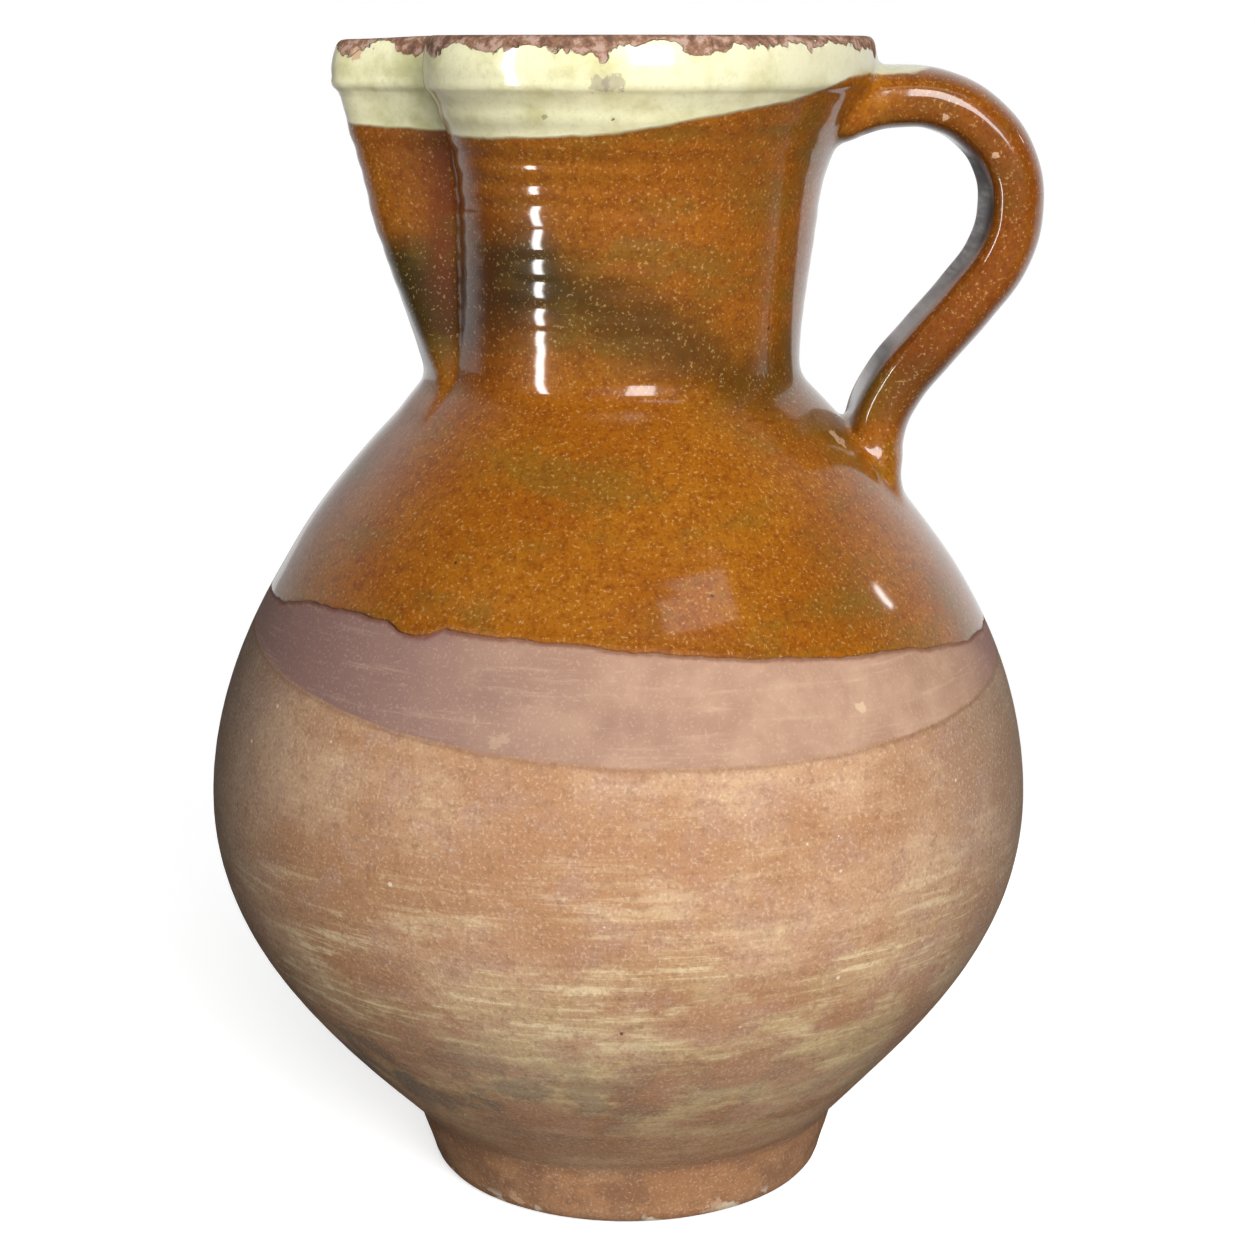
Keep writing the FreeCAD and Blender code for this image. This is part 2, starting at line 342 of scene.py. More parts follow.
@dataclass(frozen=True)
class Edges:
    """Where one finish ends and the next begins, as heights over the angle from the front.

    The angle is 0 at the front, -90 at the spout, 90 at the handle and 180 at the back.
    """

    cream: tuple[Point, ...] = (
        (-180, 266.0), (-130, 262.5), (-95, 260.5), (-78, 259.8), (-60, 259.0), (-35, 258.0), (-15, 258.3),
        (0, 259.4), (18, 262.4), (37, 265.4), (50, 268.3), (66, 271.2), (90, 271.8), (120, 270.5),
        (180, 266.0),
    )
    glaze: tuple[Point, ...] = (
        (-180, 148.0), (-120, 149.0), (-85, 150.0), (-72, 150.6), (-61, 152.8), (-50, 154.0), (-38, 153.8),
        (-33, 151.8), (-29, 152.2), (-26, 153.6), (-10, 152.6), (12, 150.1), (26, 148.2), (43, 146.3),
        (60, 143.6), (78, 141.9), (105, 141.5), (145, 144.0), (180, 148.0),
    )
    cream_wander: float = 2.0
    strap_rise: float = 4.0
    strap_from: Point = (68.0, 82.0)
    glaze_wander: float = 2.4
    glaze_fray: float = 0.7
    slip_middle: float = 140.4
    slip_slope_x: float = -0.043
    slip_slope_y: float = 0.123
    slip_least: float = 2.5
    slip_wander: float = 0.8

    def above_cream(self, place: Place, patterns: Patterns) -> Term:
        """Millimetres above the lower edge of the cream glaze."""
        edge = place.graph.curve(place.turn, self.cream) + place.x.ease(*self.strap_from) * self.strap_rise
        return place.z - edge + (patterns.patches - 0.5) * self.cream_wander

    def above_glaze(self, place: Place, patterns: Patterns) -> Term:
        """Millimetres above the lower edge of the amber glaze."""
        wander = (patterns.patches - 0.5) * self.glaze_wander + (patterns.mottle - 0.5) * self.glaze_fray
        return place.z - place.graph.curve(place.turn, self.glaze) + wander

    def above_slip(self, place: Place, patterns: Patterns) -> Term:
        """Millimetres above the lower edge of the slip, which stays under the amber glaze's."""
        tilted = place.x * self.slip_slope_x + place.y * self.slip_slope_y + self.slip_middle
        edge = tilted.math("MINIMUM", place.graph.curve(place.turn, self.glaze) - self.slip_least)
        return place.z - edge + (patterns.patches - 0.5) * self.slip_wander


@dataclass(frozen=True)
class CreamGlaze:
    """The pale yellow glaze round the mouth, stained, with painted shade on its handle side."""

    ground: Colour = (0.80, 0.77, 0.50)
    green: Colour = (0.30, 0.32, 0.13)
    pit: Colour = (0.10, 0.08, 0.04)
    pit_share: float = 0.8
    straw: Stain = Stain((0.62, 0.58, 0.30), 0.42, 0.72)
    # painted shade: the cream turns darker and greyer from the front towards the handle
    painted_side_shade: Stain = Stain((0.50, 0.47, 0.33), -5.0, 50.0, 0.55)
    pool: Stain = Stain(green, 0.30, 0.60, 0.36)
    pool_turn: Point = (-60.0, 11.0)
    blotches: Stain = Stain(green, 0.52, 0.70, 0.14)
    dots: Stain = Stain(green, 0.55, 0.72, 0.12)
    roughness: float = 0.32
    gloss: float = 0.85
    relief: tuple[tuple[str, float], ...] = (("mottle", 0.12), ("patches", 0.15))

    def look(self, place: Place, patterns: Patterns) -> Look:
        """The finish at a place."""
        colour = self.straw.on(self.ground, patterns.patches)
        # painted shade, darker from the front towards the handle side
        colour = self.painted_side_shade.on(colour, place.turn)
        colour = self.pool.on(colour, patterns.patches, place.turn.bell(*self.pool_turn))
        colour = self.blotches.on(colour, patterns.mottle)
        colour = self.dots.on(colour, patterns.pores)
        colour = place.graph.blend(patterns.specks * self.pit_share, colour, self.pit)
        return Look(colour, self.roughness, self.gloss, patterns.relief(self.relief))


@dataclass(frozen=True)
class AmberGlaze:
    """The clear honey-brown lead glaze, with smoke-green drifts and pale grit."""

    amber: Colour = (0.265, 0.078, 0.004)
    rust: Colour = (0.13, 0.022, 0.003)
    smoke: Colour = (0.034, 0.027, 0.005)
    olive: Colour = (0.15, 0.095, 0.012)
    grit: Colour = (0.62, 0.40, 0.16)
    grit_share: float = 0.40
    grit_lost_in_smoke: float = 0.26
    iron: Colour = (0.030, 0.012, 0.005)
    iron_share: float = 0.85
    honey: Stain = Stain((0.31, 0.108, 0.006), 0.38, 0.66)
    rusty: Stain = Stain(rust, 0.42, 0.70, 0.45)
    rusty_pores: Stain = Stain(rust, 0.48, 0.30, 0.45)
    pale_pores: Stain = Stain(grit, 0.60, 0.74, 0.35)
    olive_side: Stain = Stain(olive, 0.50, 0.32, 0.50)
    olive_turn: Point = (-30.0, 40.0)
    olive_bands: Stain = Stain(olive, 0.50, 0.68, 0.45)
    drift: tuple[Point, ...] = (
        (-180, 226), (-75, 221), (-60, 220), (-42, 225), (-27, 227), (-14, 223), (7, 216), (25, 211),
        (58, 201), (180, 214),
    )
    drift_strength: tuple[Point, ...] = (
        (-180, 0.25), (-95, 0.80), (-72, 1.0), (-40, 1.0), (-18, 0.80), (0, 0.62), (20, 0.60), (45, 0.55),
        (70, 0.45), (180, 0.2),
    )
    drift_sway: float = 12.0
    drift_half_height: float = 13.5
    drift_from: Point = (172.0, 200.0)
    drift_full: float = 0.95
    # painted shade: rust laid into the spout's groove on the neck
    groove_shade_turn: Point = (-62.0, 5.0)
    crease_height: Point = (205.0, 235.0)
    crease_share: float = 0.7
    strap_from: Point = (60.0, 68.0)
    strap_height: Point = (182.0, 196.0)
    strap_share: float = 0.44
    dark_turn: Point = (-46.0, 16.0)
    dark_height: Point = (192.0, 206.0)
    dark_share: float = 0.42
    palm: tuple[Point, ...] = (
        (190, 55.5), (198, 58.7), (206, 63.5), (214, 70.1), (222, 77.1), (230, 83.4), (236, 86.3),
        (242, 87.1), (248, 85.6), (254, 80.7), (258, 72.0), (260, 66.0),
    )
    palm_depth: float = 1.5
    palm_fade: float = 0.9
    palm_from: Point = (56.5, 58.5)
    palm_foot: Point = (196.0, 206.0)
    palm_top: Point = (260.0, 257.0)
    # painted shade: near-black laid on the palm side of the strap, which faces the neck
    shade: Colour = (0.020, 0.014, 0.012)
    shade_share: float = 0.85
    dullness: float = 0.78
    dull_streaks: float = 0.18
    streak: Point = (0.60, 0.42)
    roughness: float = 0.38
    relief: tuple[tuple[str, float], ...] = (("pores", 0.012), ("mottle", 0.07), ("patches", 0.10))

    def palm_in_shade(self, place: Place) -> Term:
        """1 on the palm side of the strap, which is painted nearly black as shade and given little shine."""
        depth = place.graph.curve(place.z, self.palm) + self.palm_depth - place.x
        inside = depth.ease(0.0, self.palm_fade) * place.x.ease(*self.palm_from)
        return inside * place.z.ease(*self.palm_foot) * place.z.ease(*self.palm_top)

    def look(self, place: Place, patterns: Patterns) -> Look:
        """The finish at a place."""
        graph = place.graph
        colour = self.honey.on(self.amber, patterns.clouds)
        colour = self.rusty.on(colour, patterns.mottle)
        colour = self.olive_side.on(colour, patterns.clouds, place.turn.ease(*self.olive_turn))
        height = place.z + (patterns.clouds + patterns.patches - 1.0) * self.drift_sway
        band = height.bell(graph.curve(place.turn, self.drift), self.drift_half_height)
        band = band * graph.curve(place.turn, self.drift_strength) * place.z.ease(*self.drift_from)
        colour = graph.blend(band.ease(0.0, self.drift_full), colour, self.smoke)
        # painted shade: the glaze darkened to rust in the spout's groove
        groove_shade = place.turn.bell(*self.groove_shade_turn) * place.z.ease(*self.crease_height)
        colour = graph.blend(groove_shade * self.crease_share, colour, self.rust)
        colour = self.olive_bands.on(colour, patterns.bands)
        on_strap = place.x.ease(*self.strap_from) * place.z.ease(*self.strap_height)
        colour = graph.blend(on_strap * self.strap_share, colour, self.rust)
        dark = place.turn.bell(*self.dark_turn) * place.z.ease(*self.dark_height)
        colour = graph.blend(dark * self.dark_share, colour, self.rust)
        colour = self.rusty_pores.on(colour, patterns.pores)
        colour = self.pale_pores.on(colour, patterns.pores)
        grit = patterns.grit * (self.grit_share - band * self.grit_lost_in_smoke)
        colour = graph.blend(grit, colour, self.grit)
        colour = graph.blend(patterns.specks * self.iron_share, colour, self.iron)
        # painted shade: the palm side of the strap turned nearly black
        under = self.palm_in_shade(place)
        colour = graph.blend(under * self.shade_share, colour, self.shade)
        gloss = 1.0 - under * (self.dullness + patterns.wipes.ease(*self.streak) * self.dull_streaks)
        return Look(colour, self.roughness, gloss, patterns.relief(self.relief))


@dataclass(frozen=True)
class SlipBand:
    """The thin mauve-pink slip between the glaze and the bare clay."""

    mauve: Colour = (0.235, 0.135, 0.115)
    mauve_grit: float = 0.35
    dust: Colour = (0.66, 0.49, 0.34)
    dust_specks: float = 0.5
    rose: Stain = Stain((0.34, 0.200, 0.135), 0.0, 1.0)
    pale: Stain = Stain((0.46, 0.295, 0.20), 0.28, 0.76, 0.85)
    dusty_wipes: Stain = Stain(dust, 0.52, 0.75, 0.24)
    dusty_pores: Stain = Stain(dust, 0.54, 0.72, 0.16)
    # paler on the front right, darker mauve towards the sides: partly the slip's own colour, partly painted
    # light and shade
    pale_from: Point = (-50.0, 25.0)
    pale_until: Point = (85.0, 45.0)
    roughness: float = 0.68
    relief: tuple[tuple[str, float], ...] = (("wipes", 0.08), ("pores", 0.08))

    def look(self, place: Place, patterns: Patterns) -> Look:
        """The finish at a place."""
        # partly painted light and shade: paler on the front right, darker mauve towards the sides
        side = place.turn.ease(*self.pale_from) * place.turn.ease(*self.pale_until)
        colour = self.rose.on(self.mauve, side + patterns.clouds - 0.5)
        colour = self.pale.on(colour, patterns.patches, side)
        colour = self.dusty_wipes.on(colour, patterns.wipes)
        colour = self.dusty_pores.on(colour, patterns.pores)
        colour = place.graph.blend(patterns.grit * self.mauve_grit, colour, self.mauve)
        colour = place.graph.blend(patterns.specks * self.dust_specks, colour, self.dust)
        return Look(colour, self.roughness, 0.0, patterns.relief(self.relief))


@dataclass(frozen=True)
class BareClay:
    """The unglazed buff clay, wiped on the wheel, with chalky streaks, grit and old smudges."""

    buff: Colour = (0.50, 0.315, 0.19)
    orange: Colour = (0.39, 0.205, 0.105)
    brown: Colour = (0.20, 0.10, 0.055)
    grey: Colour = (0.165, 0.142, 0.120)
    foot: Colour = (0.36, 0.17, 0.075)
    grit: Colour = (0.80, 0.70, 0.54)
    orange_clouds: Stain = Stain(orange, 0.38, 0.62)
    orange_bands: Stain = Stain(orange, 0.50, 0.36, 0.50)
    rosy: Stain = Stain((0.40, 0.235, 0.165), 0.48, 0.62, 0.60)
    straw: Stain = Stain((0.54, 0.40, 0.205), 0.44, 0.58, 0.90)
    straw_height: Point = (54.0, 28.0)
    straw_turn: Point = (14.0, 48.0)
    straw_least: float = 0.2
    wiped: Stain = Stain(brown, 0.50, 0.66)
    wiped_low: float = 0.20
    wiped_high: float = 0.08
    wiped_change: Point = (80.0, 120.0)
    chalk: Stain = Stain((0.68, 0.54, 0.33), 0.50, 0.40)
    chalk_bands: Point = (0.42, 0.60)
    chalk_height: Point = (72.0, 22.0)
    chalk_least: float = 0.12
    chalk_most: float = 0.87
    # painted shade: the clay darkened towards the bottom, under the belly
    low: Stain = Stain(brown, 46.0, 20.0, 0.10)
    # painted shade: the clay greyed towards the spout side and the handle side, fading out at the back
    spout_side_shade: Stain = Stain(grey, -38.0, -78.0, 0.68)
    handle_side_shade: Stain = Stain(grey, 30.0, 80.0, 0.62)
    side_shade_until: Point = (135.0, 95.0)
    dirt: Stain = Stain(grey, 0.56, 0.42, 0.74)
    dirt_height: Point = (44.0, 17.0)
    dirt_turn: Point = (20.0, -45.0)
    dirt_least: float = 0.4
    foot_from: Point = (17.6, 15.4)
    foot_share: float = 0.60
    foot_patches: Stain = Stain(brown, 0.44, 0.60, 0.60)
    crease_height: Point = (16.5, 2.6)
    crease_share: float = 0.35
    mottled: Stain = Stain(brown, 0.50, 0.70, 0.35)
    dark_pores: Stain = Stain(brown, 0.46, 0.30, 0.26)
    pale_pores: Stain = Stain(grit, 0.56, 0.72, 0.20)
    gritty: Stain = Stain(grit, 0.42, 0.62, 0.75)
    specks_share: float = 0.62
    scuffed: Stain = Stain(grit, 0.54, 0.60, 0.75)
    scuffed_height: Point = (5.5, 1.5)
    roughness: float = 0.86
    relief: tuple[tuple[str, float], ...] = (("wipes", 0.16), ("pores", 0.14), ("mottle", 0.16))

    def look(self, place: Place, patterns: Patterns) -> Look:
        """The finish at a place."""
        graph = place.graph
        colour = self.orange_clouds.on(self.buff, patterns.clouds)
        colour = self.rosy.on(colour, patterns.patches)
        front = graph.mix(place.turn.bell(*self.straw_turn), self.straw_least, 1.0)
        colour = self.straw.on(colour, patterns.bands, place.z.bell(*self.straw_height) * front)
        colour = self.orange_bands.on(colour, patterns.bands)
        wiped = graph.mix(place.z.ease(*self.wiped_change), self.wiped_low, self.wiped_high)
        colour = self.wiped.on(colour, patterns.wipes, wiped)
        chalk = graph.mix(place.z.bell(*self.chalk_height), self.chalk_least, self.chalk_most)
        colour = self.chalk.on(colour, patterns.wipes, patterns.bands.ease(*self.chalk_bands) * chalk)
        # painted shade, darker towards the bottom
        colour = self.low.on(colour, place.z)
        # painted shade: greyer towards both sides, none at the back
        front = abs(place.turn).ease(*self.side_shade_until)
        colour = self.spout_side_shade.on(colour, place.turn, front)
        colour = self.handle_side_shade.on(colour, place.turn, front)
        dirt = graph.mix(place.turn.ease(*self.dirt_turn), self.dirt_least, 1.0)
        colour = self.dirt.on(colour, patterns.patches, place.z.bell(*self.dirt_height) * dirt)
        on_foot = place.z.ease(*self.foot_from)
        colour = graph.blend(on_foot * self.foot_share, colour, self.foot)
        colour = self.foot_patches.on(colour, patterns.patches, on_foot)
        colour = graph.blend(place.z.bell(*self.crease_height) * self.crease_share, colour, self.brown)
        colour = self.mottled.on(colour, patterns.mottle)
        colour = self.dark_pores.on(colour, patterns.pores)
        colour = self.pale_pores.on(colour, patterns.pores)
        colour = self.gritty.on(colour, patterns.patches, patterns.grit)
        colour = graph.blend(patterns.specks * self.specks_share, colour, self.grit)
        colour = self.scuffed.on(colour, patterns.patches, place.z.ease(*self.scuffed_height))
        return Look(colour, self.roughness, 0.0, patterns.relief(self.relief))


@dataclass(frozen=True)
class ChippedClay:
    """Rough clay that shows where the glaze has flaked off."""

    dark: Colour = (0.14, 0.075, 0.055)
    umber: Stain = Stain((0.26, 0.14, 0.085), 0.36, 0.52)
    clay: Stain = Stain((0.42, 0.28, 0.225), 0.50, 0.62)
    depth: float = 0.35
    roughness: float = 0.80

    def look(self, patterns: Patterns) -> Look:
        """The finish."""
        colour = self.clay.on(self.umber.on(self.dark, patterns.mottle), patterns.mottle)
        return Look(colour, self.roughness, 0.0, (patterns.mottle - 1.0) * self.depth)


class Wear(Enum):
    """What a mark on the surface shows, as a colour."""

    CHIP = (0.55, 0.36, 0.23)
    SCUFF = (0.62, 0.45, 0.29)
    BRUISE = (0.27, 0.22, 0.19)
    NICK = (0.07, 0.045, 0.03)


@dataclass(frozen=True)
class Mark:
    """One mark: where it is, how far it reaches in millimetres, what it shows and how strongly."""

    x: float
    y: float
    z: float
    reach: float
    wear: Wear
    share: float = 0.9


MARKS = (
    Mark(-66.0, -3.0, 273.0, 3.2, Wear.NICK),
    Mark(-3.6, -60.6, 269.4, 2.0, Wear.BRUISE, 0.5),
    Mark(-0.6, -60.7, 269.9, 2.2, Wear.BRUISE, 0.5),
    Mark(-0.5, -56.4, 262.3, 0.8, Wear.NICK, 0.8),
    Mark(-15.6, -54.4, 262.6, 1.0, Wear.NICK, 0.5),
    Mark(-60.0, -17.0, 276.0, 1.6, Wear.CHIP),
    Mark(51.5, -21.6, 188.1, 2.4, Wear.CHIP, 0.7),
    Mark(76.0, -14.5, 262.0, 1.0, Wear.CHIP, 0.8),
    Mark(88.0, -14.5, 252.8, 1.2, Wear.CHIP, 0.8),
    Mark(53.8, -75.3, 137.0, 1.5, Wear.SCUFF, 0.6),
    Mark(-35.5, -87.0, 141.0, 3.0, Wear.SCUFF, 0.22),
    Mark(-30.6, -90.0, 137.5, 3.4, Wear.SCUFF, 0.28),
    Mark(-25.5, -92.3, 133.5, 3.0, Wear.SCUFF, 0.24),
    Mark(-6.6, -94.2, 132.4, 0.9, Wear.NICK),
    Mark(1.3, -94.9, 68.2, 0.8, Wear.NICK),
    Mark(-26.0, -44.0, 2.5, 3.0, Wear.SCUFF, 0.5),
    Mark(24.0, -45.0, 2.0, 3.2, Wear.SCUFF, 0.5),
)


@dataclass(frozen=True)
class PotterySkin:
    """The whole surface: bare clay, slip, amber glaze and cream glaze over each other, and their wear."""

    edges: Edges = Edges()
    cream: CreamGlaze = CreamGlaze()
    amber: AmberGlaze = AmberGlaze()
    slip: SlipBand = SlipBand()
    clay: BareClay = BareClay()
    flake: ChippedClay = ChippedClay()
    slip_fade: Point = (-0.3, 0.3)
    slip_line: Point = (-0.5, 0.55)
    slip_line_share: float = 0.45
    glaze_fade: Point = (-0.25, 0.25)
    glaze_line: Point = (-0.35, 0.5)
    glaze_line_share: float = 0.6
    coat_roughness: float = 0.09
    coat_ior: float = 1.5
    base_shine: float = 0.08
    glaze_thickness: float = 0.40
    bead: float = 0.35
    bead_place: Point = (1.0, 1.0)
    cream_fade: Point = (-0.45, 0.45)
    cream_thickness: float = 0.55
    rim_height: float = 280.0
    flake_from: Point = (272.0, 275.0)
    flake_fade: Point = (-0.15, 0.25)
    flake_relief: tuple[tuple[str, float], ...] = (("patches", 13.0), ("mottle", 3.0))
    flake_least: float = 5.2
    mark_fray: float = 3.2
    mark_fade: Point = (1.0, 0.75)

    def rim_flakes(self, place: Place, patterns: Patterns) -> Term:
        """1 where the glaze has flaked off the top of the rim."""
        ragged = patterns.relief(self.flake_relief) + place.z - (self.rim_height + self.flake_least)
        return ragged.ease(*self.flake_fade) * place.z.ease(*self.flake_from)

    def layers(self, place: Place, patterns: Patterns) -> Look:
        """The finishes over each other, with the lines at their edges."""
        graph = place.graph
        above = self.edges.above_slip(place, patterns)
        bare, slip = self.clay.look(place, patterns), self.slip.look(place, patterns)
        look = layered(graph, above.ease(*self.slip_fade), bare, slip)
        line = above.bell(*self.slip_line) * self.slip_line_share
        look = look._replace(colour=graph.blend(line, look.colour, self.clay.brown))
        above = self.edges.above_glaze(place, patterns)
        line = above.bell(*self.glaze_line) * self.glaze_line_share
        look = look._replace(colour=graph.blend(line, look.colour, self.amber.rust))
        coat = self.amber.look(place, patterns)
        bead = above.bell(*self.bead_place) * self.bead
        coat = coat._replace(height=coat.height + bead + self.glaze_thickness)
        look = layered(graph, above.ease(*self.glaze_fade), look, coat)
        pale = self.cream.look(place, patterns)
        pale = pale._replace(height=pale.height + self.cream_thickness)
        look = layered(graph, self.edges.above_cream(place, patterns).ease(*self.cream_fade), look, pale)
        return layered(graph, self.rim_flakes(place, patterns), look, self.flake.look(patterns))

    def marked(self, place: Place, patterns: Patterns, look: Look) -> Look:
        """Adds the single marks."""
        graph = place.graph
        ragged = (patterns.mottle - 0.5) * self.mark_fray
        for mark in MARKS:
            near = place.near(mark.x, mark.y, mark.z) / mark.reach + ragged
            spot = near.ease(*self.mark_fade) * mark.share
            colour = graph.blend(spot, look.colour, mark.wear.value)
            look = look._replace(colour=colour, gloss=graph.mix(spot, look.gloss, 0.0))
        return look

    def material(self) -> bpy.types.Material:
        """Builds the shader."""
        made = bpy.data.materials.new("glazed_earthenware")
        made.use_nodes = True
        graph = Graph(made.node_tree)
        graph.tree.nodes.clear()
        place = Place(graph, graph.node("ShaderNodeTexCoord", output="Object"))
        patterns = Patterns.of(graph, place)
        look = self.layers(place, patterns)
        bump = graph.node("ShaderNodeBump", None, {"Strength": 1.0, "Distance": MM, "Height": look.height})
        look = self.marked(place, patterns, look)
        inputs = {
            "Base Color": look.colour,
            "Roughness": look.roughness,
            "Coat Weight": look.gloss,
            "Coat Roughness": self.coat_roughness,
            "Coat IOR": self.coat_ior,
            "Specular IOR Level": self.base_shine,
            "Normal": bump,
        }
        graph.end("ShaderNodeOutputMaterial", graph.node("ShaderNodeBsdfPrincipled", None, inputs))
        return made


@dataclass(frozen=True)
class Stretch:
    """One Bezier stretch of the pot's outline, in radius and height."""

    start: Point
    start_handle: Point
    end_handle: Point
    end: Point
    rows: int

    def points(self) -> list[Point]:
        """The stretch in rows, without its last point."""
        shares = [number / self.rows for number in range(self.rows)]
        return [
            tuple(
                (1 - t) ** 3 * a + 3 * t * (1 - t) ** 2 * b + 3 * t * t * (1 - t) * c + t ** 3 * d
                for a, b, c, d in zip(self.start, self.start_handle, self.end_handle, self.end)
            )
            for t in shares
        ]


def straight(start: Point, end: Point, rows: int) -> Stretch:
    """A straight stretch."""
    third = tuple(a + (b - a) / 3.0 for a, b in zip(start, end))
    two_thirds = tuple(a + (b - a) / 1.5 for a, b in zip(start, end))
    return Stretch(start, third, two_thirds, end, rows)


OUTSIDE = (
    straight((0.0, 0.0), (45.8, 0.0), 8),
    Stretch((45.8, 0.0), (48.0, 0.1), (49.3, 1.3), (49.9, 3.4), 4),
    Stretch((49.9, 3.4), (50.9, 7.4), (52.4, 10.8), (53.4, 15.0), 8),
    Stretch((53.4, 15.0), (53.7, 16.2), (54.3, 17.2), (55.4, 18.3), 4),
    Stretch((55.4, 18.3), (78.7, 43.0), (100.8, 65.2), (100.8, 97.0), 46),
    Stretch((100.8, 97.0), (100.8, 133.5), (77.4, 167.2), (46.9, 197.9), 84),
    Stretch((46.9, 197.9), (45.3, 199.5), (44.2, 201.6), (44.2, 204.4), 7),
    Stretch((44.2, 204.4), (44.2, 216.0), (46.4, 226.0), (47.8, 240.0), 24),
    Stretch((47.8, 240.0), (48.9, 251.0), (53.0, 257.5), (59.0, 267.3), 22),
    Stretch((59.0, 267.3), (59.3, 267.9), (60.7, 268.3), (61.0, 269.8), 4),
    straight((61.0, 269.8), (61.1, 271.2), 2),
    Stretch((61.1, 271.2), (61.4, 273.4), (61.2, 276.0), (60.6, 277.8), 6),
    Stretch((60.6, 277.8), (60.2, 279.2), (59.6, 280.0), (58.4, 280.0), 4),
)

INSIDE = (
    Stretch((58.4, 280.0), (57.2, 280.0), (55.9, 279.6), (55.4, 278.0), 5),
    Stretch((55.4, 278.0), (54.0, 272.0), (43.6, 254.0), (42.3, 240.0), 18),
    Stretch((42.3, 240.0), (40.9, 226.0), (38.6, 216.0), (38.6, 204.0), 10),
    Stretch((38.6, 204.0), (38.6, 200.5), (40.0, 197.8), (42.2, 195.6), 4),
    Stretch((42.2, 195.6), (56.0, 182.0), (94.5, 138.0), (94.5, 97.0), 16),
    Stretch((94.5, 97.0), (94.5, 72.0), (70.0, 40.0), (40.0, 9.0), 12),
    straight((40.0, 9.0), (0.0, 9.0), 3),
)

CORE = (
    straight((0.0, 150.0), (62.0, 150.0), 2),
    straight((62.0, 150.0), (41.2, 200.0), 8),
    Stretch((41.2, 200.0), (41.2, 216.0), (43.6, 226.0), (45.0, 240.0), 10),
    Stretch((45.0, 240.0), (46.1, 251.0), (50.0, 258.0), (56.6, 268.0), 8),
    straight((56.6, 268.0), (57.6, 290.0), 6),
    straight((57.6, 290.0), (0.0, 290.0), 2),
)


def placed(name: str, data: bpy.types.ID) -> bpy.types.Object:
    """A new object with that data, in the scene."""
    made = bpy.data.objects.new(name, data)
    bpy.context.scene.collection.objects.link(made)
    return made


def outline_object(name: str, stretches: tuple[Stretch, ...]) -> bpy.types.Object:
    """A chain of points along an outline, in metres, with the radius as X and the height as Z."""
    points = [point for stretch in stretches for point in stretch.points()] + [stretches[-1].end]
    vertices = [(radius * MM, 0.0, height * MM) for radius, height in points]
    data = bpy.data.meshes.new(name)
    data.from_pydata(vertices, [(i, i + 1) for i in range(len(vertices) - 1)], [])
    return placed(name, data)


class GeometryTree:
    """A Geometry Nodes tree that bends a flat sheet of points by a rule, run once on an object."""

    def __init__(self, name: str) -> None:
        """Starts a tree that takes geometry and gives geometry."""
        self.tree = bpy.data.node_groups.new(name, "GeometryNodeTree")
        self.tree.interface.new_socket("Geometry", in_out="INPUT", socket_type="NodeSocketGeometry")
        self.tree.interface.new_socket("Geometry", in_out="OUTPUT", socket_type="NodeSocketGeometry")
        self.graph = Graph(self.tree)
        self.entry = self.tree.nodes.new("NodeGroupInput")
        self.source = Term(self.graph, self.entry.outputs[0])
        self.sizes: dict[str, float] = {}

    def size(self, name: str, value: float) -> Term:
        """Adds a named input, for whole numbers where its value is one, and keeps the value for the run."""
        kind = "NodeSocketInt" if isinstance(value, int) else "NodeSocketFloat"
        socket = self.tree.interface.new_socket(name, in_out="INPUT", socket_type=kind)
        self.sizes[socket.identifier] = value
        return Term(self.graph, Graph.find(self.entry.outputs, socket.identifier))

    def sheet(self, across: Amount, along: Amount) -> tuple[Term, Term, Term]:
        """A flat sheet of points, to be bent.

        Args:
            across: how many points it has one way.
            along: how many points it has the other way.

        Returns:
            The sheet, and each point's share of the way across and along it, from 0 to 1.
        """
        counts = {"Size X": 1.0, "Size Y": 1.0, "Vertices X": across, "Vertices Y": along}
        flat = self.graph.node("GeometryNodeInputPosition")
        sheet = self.graph.node("GeometryNodeMeshGrid", None, counts)
        return sheet, self.graph.part(flat, "X") + 0.5, self.graph.part(flat, "Y") + 0.5

    def finish(self, sheet: Term, place: Term, weld: float, material: bpy.types.Material | None) -> None:
        """Ends the tree.

        Args:
            sheet: the flat sheet.
            place: where each of its points goes, in metres.
            weld: points nearer than this become one, in metres.
            material: the material, if it has one.
        """
        graph = self.graph
        bent = graph.node("GeometryNodeSetPosition", None, {"Geometry": sheet, "Position": place})
        closed = graph.node("GeometryNodeMergeByDistance", None, {"Geometry": bent, "Distance": weld})
        smooth = graph.node("GeometryNodeSetShadeSmooth", None, {0: closed})
        real = graph.node("GeometryNodeRealizeInstances", None, {0: smooth})
        dressed = graph.node("GeometryNodeSetMaterial", None, {"Geometry": real, "Material": material})
        graph.end("NodeGroupOutput", dressed)

    def run(self, target: bpy.types.Object, name: str) -> bpy.types.Object:
        """Runs the tree on an object, which is removed, and gives a plain mesh object at the origin."""
        modifier = target.modifiers.new("shape", "NODES")
        modifier.node_group = self.tree
        for identifier, value in self.sizes.items():
            modifier[identifier] = value
        shaped = target.evaluated_get(bpy.context.evaluated_depsgraph_get())
        data = bpy.data.meshes.new_from_object(shaped)
        target.modifiers.remove(modifier)
        bpy.data.objects.remove(target)
        return placed(name, data)


